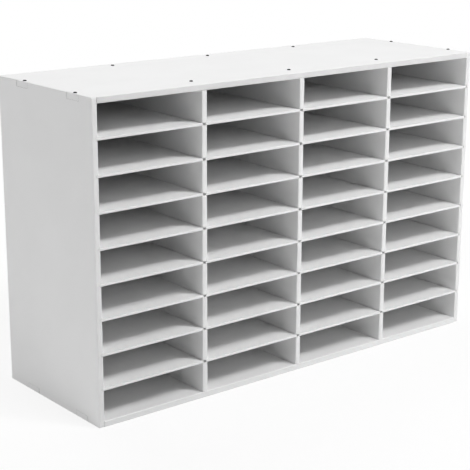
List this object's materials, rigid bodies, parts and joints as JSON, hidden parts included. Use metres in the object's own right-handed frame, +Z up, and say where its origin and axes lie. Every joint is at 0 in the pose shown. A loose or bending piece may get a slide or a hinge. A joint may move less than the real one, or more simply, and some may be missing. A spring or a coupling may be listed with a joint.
{
  "type": "pigeonhole mail sorter",
  "caption": "White free-standing pigeonhole mail sorter: a shallow wide case of low open compartments with thin sliding shelves in grooved uprights.",
  "frame": {"origin": "middle of the case's footprint, on the surface that it stands on", "axes": "+X across the front to the right as seen from the front, -Y out of the open front, +Z up"},
  "size_m": [0.998, 0.33, 0.6332],
  "materials": {
    "white_board": "white satin laminate on fibreboard",
    "white_shelf": "white painted hardboard, matte",
    "back_sheet": "white painted hardboard, matte",
    "black_steel": "matte black coated steel screws",
    "zinc_steel": "dull zinc plated steel nails"
  },
  "bodies": {
    "carcass": {"top_panel": "white_board", "bottom_panel": "white_board", "left_side": "white_board", "right_side": "white_board", "divider_1": "white_board", "divider_2": "white_board", "divider_3": "white_board", "back_panel": "back_sheet", "top_screws": "black_steel", "bottom_screws": "black_steel", "back_nails": "zinc_steel"},
    "shelf_a1": {"shelf_a1": "white_shelf"},
    "shelf_a2": {"shelf_a2": "white_shelf"},
    "shelf_a3": {"shelf_a3": "white_shelf"},
    "shelf_a4": {"shelf_a4": "white_shelf"},
    "shelf_a5": {"shelf_a5": "white_shelf"},
    "shelf_a6": {"shelf_a6": "white_shelf"},
    "shelf_a7": {"shelf_a7": "white_shelf"},
    "shelf_a8": {"shelf_a8": "white_shelf"},
    "shelf_b1": {"shelf_b1": "white_shelf"},
    "shelf_b2": {"shelf_b2": "white_shelf"},
    "shelf_b3": {"shelf_b3": "white_shelf"},
    "shelf_b4": {"shelf_b4": "white_shelf"},
    "shelf_b5": {"shelf_b5": "white_shelf"},
    "shelf_b6": {"shelf_b6": "white_shelf"},
    "shelf_b7": {"shelf_b7": "white_shelf"},
    "shelf_b8": {"shelf_b8": "white_shelf"},
    "shelf_c1": {"shelf_c1": "white_shelf"},
    "shelf_c2": {"shelf_c2": "white_shelf"},
    "shelf_c3": {"shelf_c3": "white_shelf"},
    "shelf_c4": {"shelf_c4": "white_shelf"},
    "shelf_c5": {"shelf_c5": "white_shelf"},
    "shelf_c6": {"shelf_c6": "white_shelf"},
    "shelf_c7": {"shelf_c7": "white_shelf"},
    "shelf_c8": {"shelf_c8": "white_shelf"},
    "shelf_d1": {"shelf_d1": "white_shelf"},
    "shelf_d2": {"shelf_d2": "white_shelf"},
    "shelf_d3": {"shelf_d3": "white_shelf"},
    "shelf_d4": {"shelf_d4": "white_shelf"},
    "shelf_d5": {"shelf_d5": "white_shelf"},
    "shelf_d6": {"shelf_d6": "white_shelf"},
    "shelf_d7": {"shelf_d7": "white_shelf"},
    "shelf_d8": {"shelf_d8": "white_shelf"}
  },
  "joints": [
    {"name": "shelf_a1_slide", "type": "slide", "parent": "carcass", "child": "shelf_a1", "axis": [0, -1, 0], "range_m": [0, 0.314]},
    {"name": "shelf_a2_slide", "type": "slide", "parent": "carcass", "child": "shelf_a2", "axis": [0, -1, 0], "range_m": [0, 0.314]},
    {"name": "shelf_a3_slide", "type": "slide", "parent": "carcass", "child": "shelf_a3", "axis": [0, -1, 0], "range_m": [0, 0.314]},
    {"name": "shelf_a4_slide", "type": "slide", "parent": "carcass", "child": "shelf_a4", "axis": [0, -1, 0], "range_m": [0, 0.314]},
    {"name": "shelf_a5_slide", "type": "slide", "parent": "carcass", "child": "shelf_a5", "axis": [0, -1, 0], "range_m": [0, 0.314]},
    {"name": "shelf_a6_slide", "type": "slide", "parent": "carcass", "child": "shelf_a6", "axis": [0, -1, 0], "range_m": [0, 0.314]},
    {"name": "shelf_a7_slide", "type": "slide", "parent": "carcass", "child": "shelf_a7", "axis": [0, -1, 0], "range_m": [0, 0.314]},
    {"name": "shelf_a8_slide", "type": "slide", "parent": "carcass", "child": "shelf_a8", "axis": [0, -1, 0], "range_m": [0, 0.314]},
    {"name": "shelf_b1_slide", "type": "slide", "parent": "carcass", "child": "shelf_b1", "axis": [0, -1, 0], "range_m": [0, 0.314]},
    {"name": "shelf_b2_slide", "type": "slide", "parent": "carcass", "child": "shelf_b2", "axis": [0, -1, 0], "range_m": [0, 0.314]},
    {"name": "shelf_b3_slide", "type": "slide", "parent": "carcass", "child": "shelf_b3", "axis": [0, -1, 0], "range_m": [0, 0.314]},
    {"name": "shelf_b4_slide", "type": "slide", "parent": "carcass", "child": "shelf_b4", "axis": [0, -1, 0], "range_m": [0, 0.314]},
    {"name": "shelf_b5_slide", "type": "slide", "parent": "carcass", "child": "shelf_b5", "axis": [0, -1, 0], "range_m": [0, 0.314]},
    {"name": "shelf_b6_slide", "type": "slide", "parent": "carcass", "child": "shelf_b6", "axis": [0, -1, 0], "range_m": [0, 0.314]},
    {"name": "shelf_b7_slide", "type": "slide", "parent": "carcass", "child": "shelf_b7", "axis": [0, -1, 0], "range_m": [0, 0.314]},
    {"name": "shelf_b8_slide", "type": "slide", "parent": "carcass", "child": "shelf_b8", "axis": [0, -1, 0], "range_m": [0, 0.314]},
    {"name": "shelf_c1_slide", "type": "slide", "parent": "carcass", "child": "shelf_c1", "axis": [0, -1, 0], "range_m": [0, 0.314]},
    {"name": "shelf_c2_slide", "type": "slide", "parent": "carcass", "child": "shelf_c2", "axis": [0, -1, 0], "range_m": [0, 0.314]},
    {"name": "shelf_c3_slide", "type": "slide", "parent": "carcass", "child": "shelf_c3", "axis": [0, -1, 0], "range_m": [0, 0.314]},
    {"name": "shelf_c4_slide", "type": "slide", "parent": "carcass", "child": "shelf_c4", "axis": [0, -1, 0], "range_m": [0, 0.314]},
    {"name": "shelf_c5_slide", "type": "slide", "parent": "carcass", "child": "shelf_c5", "axis": [0, -1, 0], "range_m": [0, 0.314]},
    {"name": "shelf_c6_slide", "type": "slide", "parent": "carcass", "child": "shelf_c6", "axis": [0, -1, 0], "range_m": [0, 0.314]},
    {"name": "shelf_c7_slide", "type": "slide", "parent": "carcass", "child": "shelf_c7", "axis": [0, -1, 0], "range_m": [0, 0.314]},
    {"name": "shelf_c8_slide", "type": "slide", "parent": "carcass", "child": "shelf_c8", "axis": [0, -1, 0], "range_m": [0, 0.314]},
    {"name": "shelf_d1_slide", "type": "slide", "parent": "carcass", "child": "shelf_d1", "axis": [0, -1, 0], "range_m": [0, 0.314]},
    {"name": "shelf_d2_slide", "type": "slide", "parent": "carcass", "child": "shelf_d2", "axis": [0, -1, 0], "range_m": [0, 0.314]},
    {"name": "shelf_d3_slide", "type": "slide", "parent": "carcass", "child": "shelf_d3", "axis": [0, -1, 0], "range_m": [0, 0.314]},
    {"name": "shelf_d4_slide", "type": "slide", "parent": "carcass", "child": "shelf_d4", "axis": [0, -1, 0], "range_m": [0, 0.314]},
    {"name": "shelf_d5_slide", "type": "slide", "parent": "carcass", "child": "shelf_d5", "axis": [0, -1, 0], "range_m": [0, 0.314]},
    {"name": "shelf_d6_slide", "type": "slide", "parent": "carcass", "child": "shelf_d6", "axis": [0, -1, 0], "range_m": [0, 0.314]},
    {"name": "shelf_d7_slide", "type": "slide", "parent": "carcass", "child": "shelf_d7", "axis": [0, -1, 0], "range_m": [0, 0.314]},
    {"name": "shelf_d8_slide", "type": "slide", "parent": "carcass", "child": "shelf_d8", "axis": [0, -1, 0], "range_m": [0, 0.314]}
  ]
}
